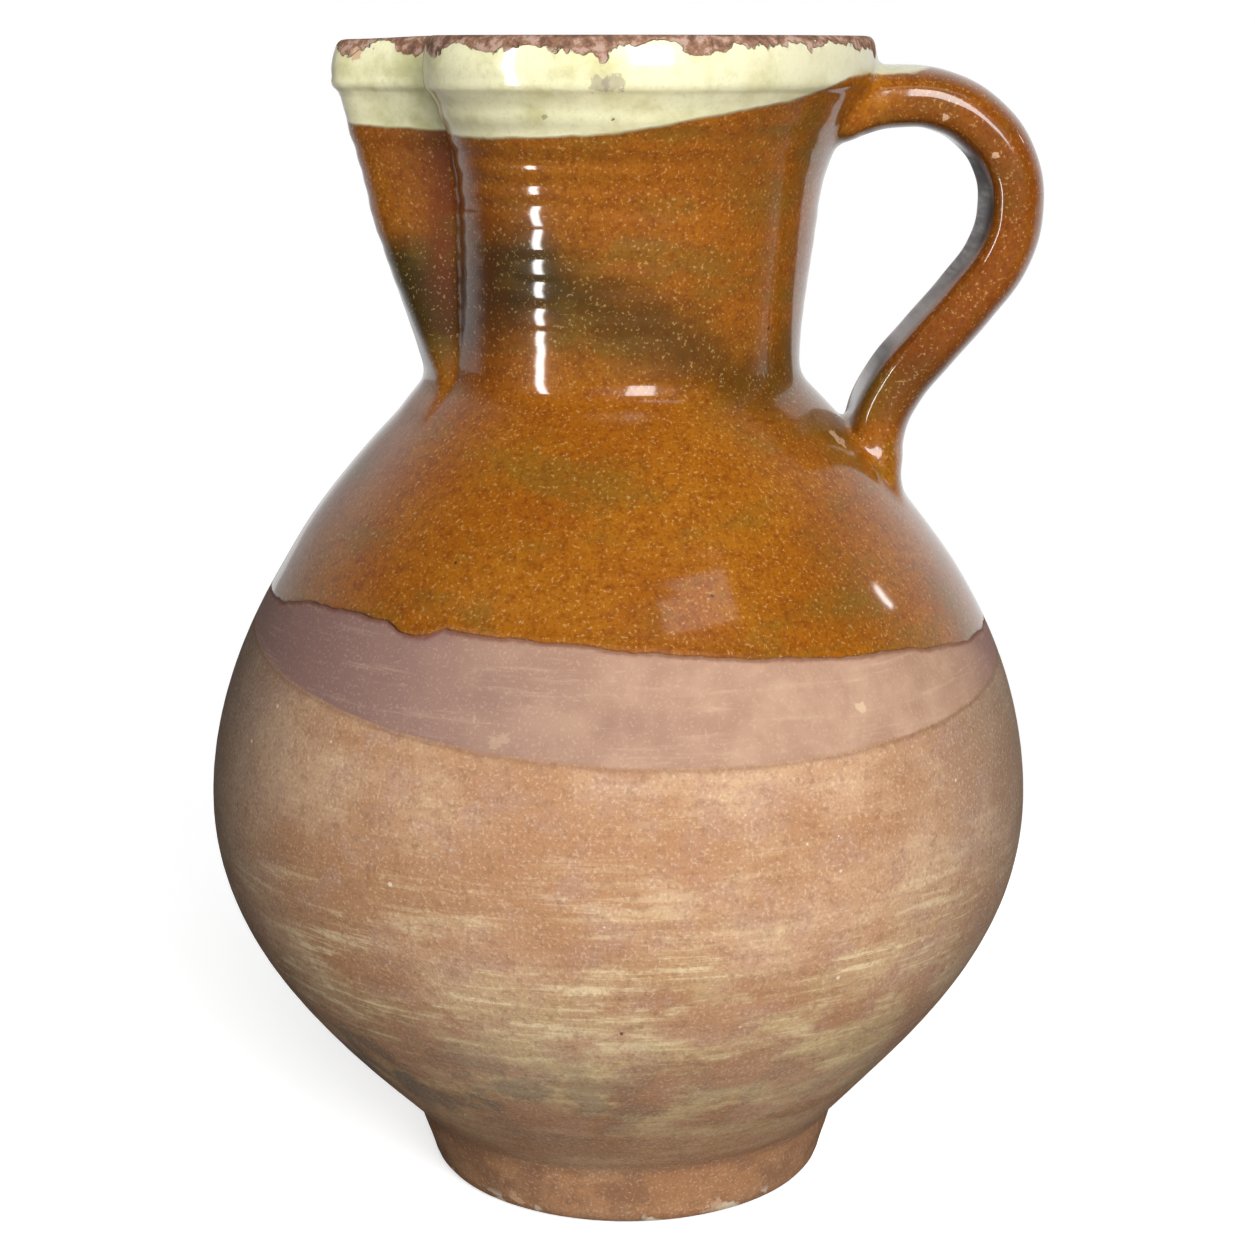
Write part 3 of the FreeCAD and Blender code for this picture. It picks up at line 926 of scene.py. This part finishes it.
@dataclass(frozen=True)
class Spout:
    """The pulled spout: how far it stands out, and how deep its grooves are pinched, over the height.

    Seen from above, each flank runs straight from the rounded nose to the groove.
    """

    groove_angle: float = 32.0
    groove_half_angle: float = 9.5
    groove_power: float = 1.25
    flank_angle: float = 63.0
    crease_round: float = 0.5
    nose_round: float = 0.8
    spout_from: float = 0.6
    spout_end: float = 42.0
    spout_whole: float = 36.0
    pull: tuple[Point, ...] = (
        (190, 0.0), (199, 1.5), (206, 3.4), (218, 6.4), (231, 9.2), (245, 11.2), (256, 10.2), (264, 7.6),
        (270, 6.2), (280, 5.4),
    )
    pinch: tuple[Point, ...] = (
        (196, 0.0), (206, 0.6), (218, 2.0), (231, 3.6), (245, 5.4), (256, 8.0), (268, 11.2), (280, 11.8),
    )

    def radius(self, graph: Graph, radius: Term, height: Term, angle: Term) -> Term:
        """The wall's radius with the spout pulled out of it.

        Args:
            graph: the tree.
            radius: the plain turned radius, in millimetres.
            height: the height, in millimetres.
            angle: degrees from the spout, without a sign.

        Returns:
            The changed radius.
        """
        pull = graph.curve(height, self.pull)
        pinch = graph.curve(height, self.pinch)
        valley = (radius - pinch) * math.cos(math.radians(self.flank_angle - self.groove_angle))
        flank = valley / graph.math("COSINE", (angle - self.flank_angle) * math.radians(1.0))
        nose = graph.math("SMOOTH_MIN", radius + pull, flank, pull * self.nose_round)
        past = (angle - self.groove_angle).math("MAXIMUM", 0.0) / self.groove_half_angle
        neck = radius - pinch * (-(past ** self.groove_power)).math("EXPONENT")
        bulge = graph.math("SMOOTH_MAX", nose, neck, self.crease_round)
        on_spout = pull.ease(0.0, self.spout_from) * angle.ease(self.spout_end, self.spout_whole)
        return graph.mix(on_spout, neck, bulge)


@dataclass
class Pot:
    """The thrown wall of the jug, outside, over the rim and inside, with its spout."""

    columns: int = 256
    spout: Spout = field(default_factory=Spout)
    ring_pitch: float = 5.6
    ring_height: float = 0.035
    ring_height_on_neck: float = 0.30
    ring_neck: Point = (196.0, 250.0)
    ring_turn: float = 65.0
    ring_half_turn: float = 50.0
    ring_least: float = 0.2
    ring_sway: float = 3.0
    uneven_size: float = 9.0
    uneven_squeeze: tuple[float, float, float] = (0.25, 0.25, 1.0)
    uneven_range: Point = (0.3, 0.6)
    uneven_least: float = 0.5
    calm_foot: Point = (6.0, 14.0)
    calm_lip: Point = (276.0, 268.0)
    calm_middle: Point = (4.0, 30.0)
    wander: float = 0.55
    wander_size: float = 55.0
    wander_from: Point = (1.0, 12.0)
    turned_floor: Point = (20.0, 36.0)
    tip_dip: float = 0.8
    tip_height: Point = (268.0, 280.0)
    tip_half_angle: float = 22.0
    lean: tuple[Point, ...] = (
        (0, 2.3), (17, 1.9), (40, 0.8), (65, 0.4), (97, 0.2), (150, 0.4), (172, -0.4), (195, -0.2),
        (230, 0.0), (280, 0.0),
    )
    weld: float = 0.00002

    def tree(self, name: str, material: bpy.types.Material | None, fine: bool) -> GeometryTree:
        """The rule that turns an outline into the wall.

        Args:
            name: the tree's name.
            material: the wall's material.
            fine: whether the wall leans and has the rings and the wander of the potter's hand.

        Returns:
            The tree, ready to run on an outline.
        """
        made = GeometryTree(name)
        graph = made.graph
        columns = made.size("Columns", self.columns)
        outline = made.source
        count = graph.node("GeometryNodeAttributeDomainSize", {"component": "MESH"}, {0: outline})
        rows = count.other("Point Count")
        sheet, share_round, share_along = made.sheet(columns + 1, rows)
        row = (share_along * (rows - 1.0)).math("ROUND")
        place = graph.node(
            "GeometryNodeSampleIndex",
            {"data_type": "FLOAT_VECTOR", "domain": "POINT"},
            {"Geometry": outline, "Value": graph.node("GeometryNodeInputPosition"), "Index": row},
        )
        radius = graph.part(place, "X") * (1.0 / MM)
        height = graph.part(place, "Z") * (1.0 / MM)
        angle = (share_round - 0.5) * 360.0
        turn = angle * math.radians(1.0)
        pulled = self.spout.radius(graph, radius, height, abs(angle))
        pulled = graph.mix(radius.ease(*self.turned_floor), radius, pulled)
        tip = (-((abs(angle) / self.tip_half_angle) ** 4.0)).math("EXPONENT") * height.ease(*self.tip_height)
        lifted = height - tip * self.tip_dip
        leaning = 0.0
        if fine:
            pulled = pulled + self.hand(made, radius, height, angle)
            leaning = graph.curve(height, self.lean)
        across = graph.math("COSINE", turn) * pulled
        along = graph.math("SINE", turn) * pulled
        corner = graph.point(leaning - across, -along, lifted)
        made.finish(sheet, graph.scaled(corner, MM), self.weld, material)
        return made

    def hand(self, made: GeometryTree, radius: Term, height: Term, angle: Term) -> Term:
        """What the potter's hand leaves on the wall: rings that climb it, and a slow wander.

        Args:
            made: the tree.
            radius: the plain turned radius, in millimetres.
            height: the height, in millimetres.
            angle: degrees from the spout.

        Returns:
            What is added to the radius, in millimetres.
        """
        graph = made.graph
        turn = angle * math.radians(1.0)
        place = graph.point(graph.math("COSINE", turn) * radius, graph.math("SINE", turn) * radius, height)
        slow = graph.noise(place, self.wander_size, 2.0) - 0.5
        uneven = graph.noise(graph.vector("MULTIPLY", place, self.uneven_squeeze), self.uneven_size, 2.0)
        climb = (height + uneven * self.ring_sway) / made.size("Ring Pitch", self.ring_pitch) + angle / 360.0
        wave = graph.math("SINE", climb * math.tau)
        rings = made.size("Ring Height", self.ring_height)
        neck_rings = made.size("Neck Ring Height", self.ring_height_on_neck)
        size = graph.mix(height.ease(*self.ring_neck), rings, neck_rings)
        size = size * graph.mix(uneven.ease(*self.uneven_range), self.uneven_least, 1.0)
        size = size * graph.mix(angle.bell(self.ring_turn, self.ring_half_turn), self.ring_least, 1.0)
        rings = wave * size * height.ease(*self.calm_foot) * height.ease(*self.calm_lip)
        slow = slow * made.size("Wander", self.wander) * height.ease(*self.wander_from)
        return (rings + slow) * radius.ease(*self.calm_middle)

    def build(self, material: bpy.types.Material) -> bpy.types.Object:
        """The wall as one closed mesh."""
        outline = outline_object("wall_outline", OUTSIDE + INSIDE)
        return self.tree("thrown_wall", material, True).run(outline, "wall")

    def core(self) -> bpy.types.Object:
        """What the handle's ends are cut back to: a body a little wider than the hollow of the neck."""
        return self.tree("neck_core", None, False).run(outline_object("core_outline", CORE), "core")


@dataclass
class StrapHandle:
    """The pulled strap, from under the lip to the shoulder."""

    route: tuple[Point, ...] = (
        (49.5, 262.4), (57.0, 265.2), (65.5, 266.3), (76.0, 265.3), (86.0, 259.8), (92.4, 251.0),
        (94.2, 240.0), (91.6, 229.2), (84.2, 218.6), (75.2, 208.0), (67.2, 198.0), (63.0, 188.6),
        (62.6, 179.0), (66.5, 168.5),
    )
    route_steps: int = 24
    half_width: float = 15.4
    half_thickness: float = 7.1
    back_power: float = 2.3
    palm_power: float = 4.0
    palm_change: Point = (-0.02, 0.02)
    root_flare: float = 3.6
    root_share: Point = (0.22, 0.0)
    root_thickening: float = 0.25
    foot_flare: float = 4.0
    foot_share: Point = (0.80, 1.0)
    tail_thinning: float = 0.40
    tail_share: Point = (0.90, 1.0)
    cap_share: float = 0.004
    cap_rows: float = 0.01
    around: int = 72
    along: int = 150
    weld: float = 0.00001

    def tree(self, material: bpy.types.Material) -> GeometryTree:
        """The rule that sweeps the strap's section along its route."""
        made = GeometryTree("pulled_strap")
        graph = made.graph
        around = made.size("Around", self.around)
        sheet, share_round, raw = made.sheet(around + 1, made.size("Along", self.along))
        share = raw * (1.0 + 2.0 * self.cap_rows) - self.cap_rows
        share = share.math("MAXIMUM", 0.0).math("MINIMUM", 1.0)
        sampled = {"Curves": made.source, "Factor": share}
        middle = graph.node("GeometryNodeSampleCurve", {"mode": "FACTOR"}, sampled, "Position")
        way = middle.other("Tangent")
        turn = share_round * math.tau
        across = graph.math("COSINE", turn)
        up = graph.math("SINE", turn)
        power = graph.mix(up.ease(*self.palm_change), 2.0 / self.palm_power, 2.0 / self.back_power)
        side = abs(across) ** power * across.math("SIGN")
        out = abs(up) ** power * up.math("SIGN")
        root = share.ease(*self.root_share) ** 2.0 * made.size("Root Flare", self.root_flare)
        foot = share.ease(*self.foot_share) ** 2.0 * made.size("Foot Flare", self.foot_flare)
        cap = raw.ease(0.0, self.cap_share) * raw.ease(1.0, 1.0 - self.cap_share)
        wide = (made.size("Half Width", self.half_width) + root + foot) * cap * side
        thick = made.size("Half Thickness", self.half_thickness) + root * self.root_thickening
        thick = thick * (1.0 - share.ease(*self.tail_share) * self.tail_thinning) * cap * out
        moved = graph.point(-(graph.part(way, "Z") * thick), wide, graph.part(way, "X") * thick)
        made.finish(sheet, graph.vector("ADD", middle, graph.scaled(moved, MM)), self.weld, material)
        return made

    def path(self) -> bpy.types.Object:
        """The strap's route as a smooth curve, in metres."""
        data = bpy.data.curves.new("strap_route", "CURVE")
        data.dimensions = "3D"
        data.resolution_u = self.route_steps
        spline = data.splines.new("BEZIER")
        spline.bezier_points.add(len(self.route) - 1)
        for knot, (x, z) in zip(spline.bezier_points, self.route):
            knot.co = (x * MM, 0.0, z * MM)
            knot.handle_left_type = "AUTO"
            knot.handle_right_type = "AUTO"
        return placed("strap_route", data)

    def build(self, material: bpy.types.Material) -> bpy.types.Object:
        """The strap as one closed mesh."""
        return self.tree(material).run(self.path(), "strap")


class Join(Enum):
    """How two closed meshes are joined."""

    TOGETHER = "UNION"
    CUT_AWAY = "DIFFERENCE"


def joined(first: bpy.types.Object, second: bpy.types.Object, how: Join, name: str) -> bpy.types.Object:
    """One mesh from two closed ones. Both are removed."""
    modifier = first.modifiers.new("join", "BOOLEAN")
    modifier.operation = how.value
    modifier.solver = "MANIFOLD"
    modifier.object = second
    data = bpy.data.meshes.new_from_object(first.evaluated_get(bpy.context.evaluated_depsgraph_get()))
    first.modifiers.remove(modifier)
    bpy.data.objects.remove(first)
    bpy.data.objects.remove(second)
    return placed(name, data)


def mesh_points(piece: bpy.types.Object) -> np.ndarray:
    """A mesh's points as rows of numbers."""
    places = np.zeros(len(piece.data.vertices) * 3)
    piece.data.vertices.foreach_get("co", places)
    return places.reshape(-1, 3)


def search_tree(points: np.ndarray) -> KDTree:
    """A tree that finds the nearest of some points."""
    tree = KDTree(len(points))
    for number, place in enumerate(points):
        tree.insert(place, number)
    tree.balance()
    return tree


@dataclass
class Jug:
    """The whole piece: wall and strap made one, their joints smoothed like wet clay."""

    pot: Pot = field(default_factory=Pot)
    strap: StrapHandle = field(default_factory=StrapHandle)
    skin: PotterySkin = field(default_factory=PotterySkin)
    joint_reach: float = 3.0
    joint_far: float = 9.0
    joint_passes: int = 26
    joint_step: float = 0.5
    same_point: float = 1e-6

    def build(self) -> bpy.types.Object:
        """Builds the jug as one closed mesh."""
        material = self.skin.material()
        wall = self.pot.build(material)
        log.info("wall: %d points", len(wall.data.vertices))
        strap = joined(self.strap.build(material), self.pot.core(), Join.CUT_AWAY, "trimmed_strap")
        log.info("strap: %d points", len(strap.data.vertices))
        known = np.vstack([mesh_points(wall), mesh_points(strap)])
        whole = joined(wall, strap, Join.TOGETHER, "pottery_jug")
        self.smooth_joints(whole, known)
        whole.data.materials.clear()
        whole.data.materials.append(material)
        whole.data.polygons.foreach_set("use_smooth", [True] * len(whole.data.polygons))
        whole.data.update()
        return whole

    def smooth_joints(self, whole: bpy.types.Object, known: np.ndarray) -> None:
        """Rounds the lines in which the strap meets the wall.

        Args:
            whole: the joined mesh.
            known: the points of both meshes before they were joined; every other point lies on a joint.
        """
        tree = search_tree(known)
        places = mesh_points(whole)
        seam = np.array([p for p in places if tree.find(p)[2] > self.same_point])
        log.info("joint: %d points", len(seam))
        near = search_tree(seam)
        away = np.array([near.find(p)[2] for p in places]) / MM
        weight = np.exp(-((away / self.joint_reach) ** 2))[:, None]
        weight[away > self.joint_far] = 0.0
        pairs = np.zeros(len(whole.data.edges) * 2, dtype=int)
        whole.data.edges.foreach_get("vertices", pairs)
        pairs = pairs.reshape(-1, 2)
        count = np.bincount(pairs.ravel(), minlength=len(places))[:, None]
        for _ in range(self.joint_passes):
            total = np.zeros_like(places)
            np.add.at(total, pairs[:, 0], places[pairs[:, 1]])
            np.add.at(total, pairs[:, 1], places[pairs[:, 0]])
            places += weight * self.joint_step * (total / count - places)
        whole.data.vertices.foreach_set("co", places.ravel())


class Lamp(NamedTuple):
    """A rectangular lamp that faces the jug.

    Its turn is in degrees from the front, positive towards the handle, and its rise in degrees above the
    level. Its distance from the jug's middle, width and height are in metres, its power in watts. A mirrored
    lamp shows only in the glaze, the others light everything and don't show in it. An upright lamp stands
    straight up instead of leaning towards the jug.
    """

    name: str
    turn: float
    rise: float
    far: float
    size: Point
    power: float
    mirrored: bool = True
    upright: bool = False


LAMPS = (
    Lamp("key", 14.0, 26.0, 1.7, (1.3, 1.1), 46.0, mirrored=False),
    Lamp("fill", 180.0, 22.0, 1.9, (1.6, 1.2), 13.0, mirrored=False),
    Lamp("window", 15.0, 23.0, 1.5, (0.42, 0.80), 13.0),
    Lamp("bright_wall", 12.0, 27.0, 1.7, (1.5, 0.5), 0.9),
    Lamp("tall_strip", -46.0, 13.0, 0.64, (0.056, 0.56), 2.7, upright=True),
    Lamp("overhead_panel", 35.0, 52.0, 1.5, (0.56, 0.20), 0.55),
    Lamp("side_glint", 107.0, 27.0, 1.5, (0.05, 0.12), 0.3),
)


@dataclass
class Studio:
    """The plain pale floor, the soft light and the camera at the photograph's viewing angle."""

    camera_place: tuple[float, float, float] = (2.45, -600.0, 276.8)
    camera_pitch: float = 13.11
    lens: float = 71.125
    film_width: float = 36.0
    jug_middle: float = 0.14
    ambient: float = 0.06
    front_light: float = 0.015
    back_light: float = 0.85
    back_from: Point = (-0.10, 0.90)
    dim_left: Point = (-0.20, -0.45)
    dim_level: Point = (0.45, 0.15)
    dim_share: float = 0.45
    floor_half: float = 4.0
    floor_paper: Colour = (0.85, 0.85, 0.85)
    floor_glow: float = 0.60
    floor_fade: Point = (0.12, 0.45)
    floor_tone: Colour = (0.34, 0.33, 0.32)
    floor_mirrored_tone: Colour = (0.10, 0.10, 0.10)
    floor_white_from: Point = (-0.05, 0.40)
    floor_gap: Point = (-0.10, 0.24)
    floor_gap_share: float = 0.85

    def camera(self) -> None:
        """The camera, with the rim seen edge-on."""
        data = bpy.data.cameras.new("camera")
        data.lens = self.lens
        data.sensor_width = self.film_width
        data.clip_start = 0.01
        made = placed("camera", data)
        made.location = [length * MM for length in self.camera_place]
        made.rotation_euler = (math.radians(90.0 - self.camera_pitch), 0.0, 0.0)
        bpy.context.scene.camera = made

    def lamps(self) -> None:
        """A large soft key from the front right, a fill behind, and lamps that only the glaze shows."""
        for lamp in LAMPS:
            data = bpy.data.lights.new(lamp.name, "AREA")
            data.shape = "RECTANGLE"
            data.size, data.size_y = lamp.size
            data.energy = lamp.power
            made = placed(lamp.name, data)
            turn, rise = math.radians(lamp.turn), math.radians(lamp.rise)
            way = Vector((math.sin(turn) * math.cos(rise), -math.cos(turn) * math.cos(rise), math.sin(rise)))
            made.location = Vector((0.0, 0.0, self.jug_middle)) + way * lamp.far
            facing = Vector((-way.x, -way.y, 0.0 if lamp.upright else -way.z))
            made.rotation_mode = "QUATERNION"
            made.rotation_quaternion = facing.to_track_quat("-Z", "Y")
            made.visible_glossy = lamp.mirrored
            made.visible_diffuse = not lamp.mirrored

    def world(self) -> None:
        """An even surround: white to the camera; in the glaze, dim before the jug and bright behind it."""
        made = bpy.data.worlds.new("surround")
        made.use_nodes = True
        graph = Graph(made.node_tree)
        graph.tree.nodes.clear()
        way = graph.node("ShaderNodeTexCoord", output="Generated")
        behind = graph.part(way, "Y").ease(*self.back_from)
        dim = graph.part(way, "X").ease(*self.dim_left) * graph.part(way, "Z").ease(*self.dim_level)
        mirrored = graph.mix(behind, self.front_light, self.back_light) * (1.0 - dim * self.dim_share)
        camera = graph.node("ShaderNodeLightPath", output="Is Camera Ray")
        seen = (camera + camera.other("Is Transmission Ray")).math("MINIMUM", 1.0)
        level = graph.mix(seen, graph.mix(camera.other("Is Glossy Ray"), self.ambient, mirrored), 1.0)
        light = graph.node("ShaderNodeBackground", None, {"Color": (1.0, 1.0, 1.0), "Strength": level})
        graph.end("ShaderNodeOutputWorld", light)
        bpy.context.scene.world = made

    def floor_material(self) -> bpy.types.Material:
        """A white floor that keeps the jug's shadow and fades away; in the glaze, white behind the jug."""
        made = bpy.data.materials.new("pale_floor")
        made.use_nodes = True
        graph = Graph(made.node_tree)
        graph.tree.nodes.clear()
        camera = graph.node("ShaderNodeLightPath", output="Is Camera Ray")
        glossy = camera.other("Is Glossy Ray")
        spot = graph.node("ShaderNodeTexCoord", output="Object")
        away = graph.node("ShaderNodeVectorMath", {"operation": "LENGTH"}, {0: spot}, "Value")
        gap = graph.part(spot, "X").bell(*self.floor_gap) * self.floor_gap_share
        behind = graph.part(spot, "Y").ease(*self.floor_white_from) * (1.0 - gap)
        white = graph.node("ShaderNodeEmission", None, {"Color": (1.0, 1.0, 1.0), "Strength": 1.0})
        paper = graph.node("ShaderNodeBsdfDiffuse", None, {"Color": self.floor_paper})
        glow = {"Color": (1.0, 1.0, 1.0), "Strength": self.floor_glow}
        glow = graph.node("ShaderNodeEmission", None, glow)
        near = graph.node("ShaderNodeAddShader", None, {0: paper, 1: glow})
        seen = graph.node("ShaderNodeMixShader", None, {0: away.ease(*self.floor_fade), 1: near, 2: white})
        tone = graph.blend(glossy, self.floor_tone, self.floor_mirrored_tone)
        dull = graph.node("ShaderNodeBsdfDiffuse", None, {"Color": tone})
        share = behind * glossy * self.back_light
        mirrored = graph.node("ShaderNodeMixShader", None, {0: share, 1: dull, 2: white})
        surface = graph.node("ShaderNodeMixShader", None, {0: camera, 1: mirrored, 2: seen})
        graph.end("ShaderNodeOutputMaterial", surface)
        return made

    def floor(self) -> None:
        """The floor, far wider than the picture."""
        h = self.floor_half
        data = bpy.data.meshes.new("floor")
        data.from_pydata([(-h, -h, 0), (h, -h, 0), (h, h, 0), (-h, h, 0)], [], [(0, 1, 2, 3)])
        data.materials.append(self.floor_material())
        made = placed("floor", data)

    def build(self) -> None:
        """Sets the scene up."""
        bpy.context.scene.view_settings.view_transform = "Standard"
        self.camera()
        self.lamps()
        self.world()
        self.floor()


def main() -> None:
    """Builds the jug and its studio."""
    logging.basicConfig(level=logging.INFO, format="%(name)s: %(message)s")
    Studio().build()
    jug = Jug().build()
    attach(jug, "root")
    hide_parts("jug")
    log.info("pottery_jug: %d faces", len(jug.data.polygons))


if __name__ == "__main__":
    main()
